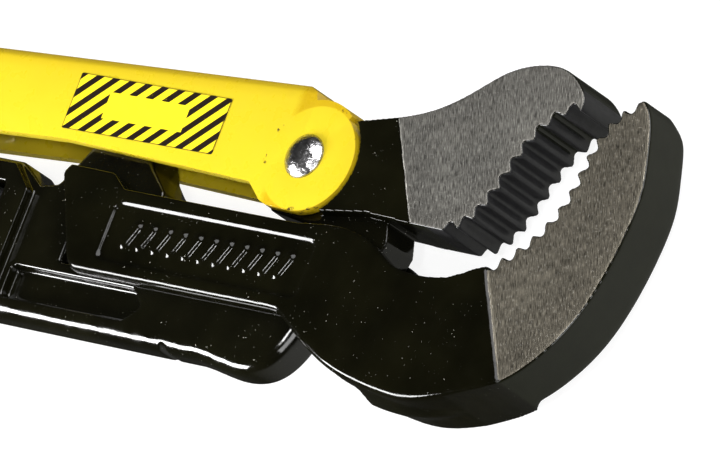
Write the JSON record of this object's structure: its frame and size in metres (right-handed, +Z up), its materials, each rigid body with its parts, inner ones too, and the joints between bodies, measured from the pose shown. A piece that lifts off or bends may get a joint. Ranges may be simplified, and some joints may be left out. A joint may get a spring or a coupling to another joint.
{
  "type": "pipe wrench",
  "caption": "Pipe wrench with S-shaped toothed jaws: a knurled nut slides the hook jaw along the main handle, and a squeezed channel lever closes the upper jaw.",
  "frame": {"origin": "on the lower side face of the hook jaw body, on the axis of the jaw pivot", "axes": "+X from the handles to the jaws, +Y from the main handle to the lever, +Z up through the thickness of the tool, which lies on its side"},
  "size_m": [0.3275, 0.09, 0.0195],
  "materials": {
    "black_enamel": "gloss",
    "yellow_paint": "gloss",
    "ground_steel": "ground",
    "bright_steel": "satin",
    "black_oxide": "satin",
    "polished_rivet": "polished",
    "spring_steel": "satin",
    "sticker_film": "gloss",
    "grip_vinyl": "satin"
  },
  "bodies": {
    "main_handle": {"main_handle": "black_enamel", "main_grip": "grip_vinyl", "jaw_pivot_pin": "bright_steel", "nut_washers": "bright_steel", "spring_post": "bright_steel", "return_spring": "spring_steel"},
    "hook_jaw": {"hook_jaw": "black_enamel", "guide_block": "bright_steel", "guide_screws": "bright_steel", "spindle": "bright_steel", "spindle_pin": "bright_steel"},
    "adjusting_nut": {"adjusting_nut": "black_oxide"},
    "upper_jaw": {"upper_jaw": "ground_steel", "eye_bush": "bright_steel"},
    "lever": {"lever": "yellow_paint", "lever_grip": "grip_vinyl", "lever_rivet": "polished_rivet", "fulcrum_saddle": "bright_steel", "saddle_rivet": "yellow_paint", "sticker_near": "sticker_film", "sticker_far": "sticker_film"}
  },
  "joints": [
    {"name": "hook_slide", "type": "slide", "parent": "main_handle", "child": "hook_jaw", "axis": [1, 0, 0], "range_m": [-0.001, 0.025]},
    {"name": "nut_turn", "type": "hinge", "parent": "main_handle", "child": "adjusting_nut", "pos_m": [-0.107, -0.0015, 0.0093], "axis": [1, 0, 0], "range_deg": [-4505, 185]},
    {"name": "jaw_swing", "type": "hinge", "parent": "main_handle", "child": "upper_jaw", "pos_m": [0, 0, 0.0093], "axis": [0, 0, 1], "range_deg": [-6, 0], "stiffness_Nm_per_rad": 2, "springref_deg": 5.73},
    {"name": "lever_squeeze", "type": "hinge", "parent": "upper_jaw", "child": "lever", "pos_m": [-0.019, 0.026, 0.0093], "axis": [0, 0, 1], "range_deg": [-0.2, 8.3], "deforming": ["return_spring"]}
  ],
  "couplings": [
    {"joint": "nut_turn", "follows": "hook_slide", "rad_per_m": -3141.6},
    {"joint": "lever_squeeze", "follows": "jaw_swing", "ratio": -1.36}
  ]
}
